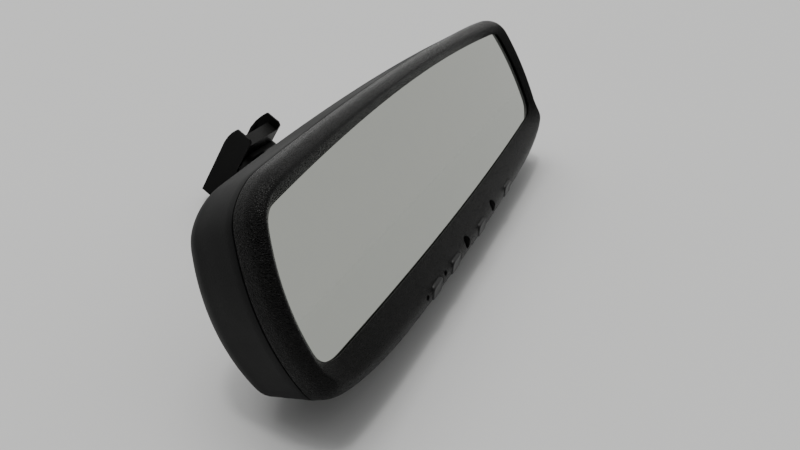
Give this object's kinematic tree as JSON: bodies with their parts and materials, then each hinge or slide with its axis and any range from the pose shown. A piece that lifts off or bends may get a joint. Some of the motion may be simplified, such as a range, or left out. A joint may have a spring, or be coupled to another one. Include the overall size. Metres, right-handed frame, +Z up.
{
  "type": "interior rearview mirror",
  "caption": "Wide auto-dimming rearview mirror: rounded case, chin buttons and sensors, ball-jointed arm and a channel bracket for the windshield.",
  "frame": {"origin": "bottom centre of the whole mirror's box, on the surface it lies on", "axes": "+X along the mirror's width, +Y away from the reflecting side towards the windshield bracket, +Z up from the table; the glass leans back 27.8 degrees"},
  "size_m": [0.2566, 0.1442, 0.0833],
  "materials": {
    "bezel_plastic": "moulded black plastic with a fine leather-like grain",
    "housing_plastic": "moulded charcoal plastic with a fine spark texture",
    "mount_coating": "black powder-coated die casting",
    "mirror": "auto-dimming glass, neutral green-grey reflection",
    "clear_glass": "float glass",
    "seal": "cured epoxy cell seal",
    "copper": "tinned copper strip",
    "foam": "closed-cell foam tape",
    "inner_plastic": "glass-filled black plastic",
    "board": "green solder mask on glass-epoxy board",
    "component": "moulded black component",
    "steel": "zinc-plated steel",
    "liner": "natural acetal",
    "lens": "dark smoked lens",
    "button": "satin black button, finer grain than the bezel",
    "flex": "amber polyimide ribbon"
  },
  "bodies": {
    "mount": {"ball_arm": "mount_coating", "windshield_bracket": "mount_coating", "bracket_spring": "steel", "arm_screw_1": "steel", "arm_screw_2": "steel"},
    "ball_liner": {"ball_liner": "liner"},
    "ball_cup": {"ball_cup": "steel"},
    "head": {"front_bezel": "bezel_plastic", "rear_housing": "housing_plastic", "mirror_glass": "mirror", "cell_seal": "seal", "mirror_rear_glass": "clear_glass", "bus_clip_top": "copper", "bus_clip_bottom": "copper", "foam_pad": "foam", "glass_carrier": "inner_plastic", "circuit_board": "board", "board_screw_1": "steel", "board_screw_2": "steel", "board_screw_3": "steel", "board_screw_4": "steel", "mirror_controller": "component", "filter_capacitor": "component", "connector_header": "inner_plastic", "connector_pins": "steel", "button_board": "board", "button_flex": "flex", "tact_switch_1": "component", "tact_switch_2": "component", "tact_switch_3": "component", "tact_switch_4": "component", "microphone_1": "steel", "microphone_2": "steel", "status_led_lens": "lens", "glare_sensor_lens": "lens", "rear_sensor_lens": "lens", "pivot_plate": "steel", "pivot_screw_1": "steel", "pivot_screw_2": "steel", "pivot_screw_3": "steel", "pivot_screw_4": "steel"},
    "button_1": {"button_1": "button"},
    "button_2": {"button_2": "button"},
    "button_3": {"button_3": "button"},
    "button_4": {"button_4": "button"}
  },
  "joints": [
    {"name": "head_pan", "type": "hinge", "parent": "mount", "child": "ball_liner", "pos_m": [0, -0.02479, 0.03744], "axis": [0, 0, 1], "range_deg": [-20, 20]},
    {"name": "head_tilt", "type": "hinge", "parent": "ball_liner", "child": "ball_cup", "pos_m": [0, -0.02479, 0.03744], "axis": [1, 0, 0], "range_deg": [-4, 30]},
    {"name": "head_roll", "type": "hinge", "parent": "ball_cup", "child": "head", "pos_m": [0, -0.02479, 0.03744], "axis": [0, 0.8846, -0.4664], "range_deg": [-8, 8]},
    {"name": "button_1_press", "type": "slide", "parent": "head", "child": "button_1", "axis": [0, 1, 0.0035], "range_m": [0, 0.0005], "stiffness_N_per_m": 1200, "springref_m": -0.0004},
    {"name": "button_2_press", "type": "slide", "parent": "head", "child": "button_2", "axis": [0, 1, 0.0035], "range_m": [0, 0.0005], "stiffness_N_per_m": 1200, "springref_m": -0.0004},
    {"name": "button_3_press", "type": "slide", "parent": "head", "child": "button_3", "axis": [0, 1, 0.0035], "range_m": [0, 0.0005], "stiffness_N_per_m": 1200, "springref_m": -0.0004},
    {"name": "button_4_press", "type": "slide", "parent": "head", "child": "button_4", "axis": [0, 1, 0.0035], "range_m": [0, 0.0005], "stiffness_N_per_m": 1200, "springref_m": -0.0004}
  ]
}
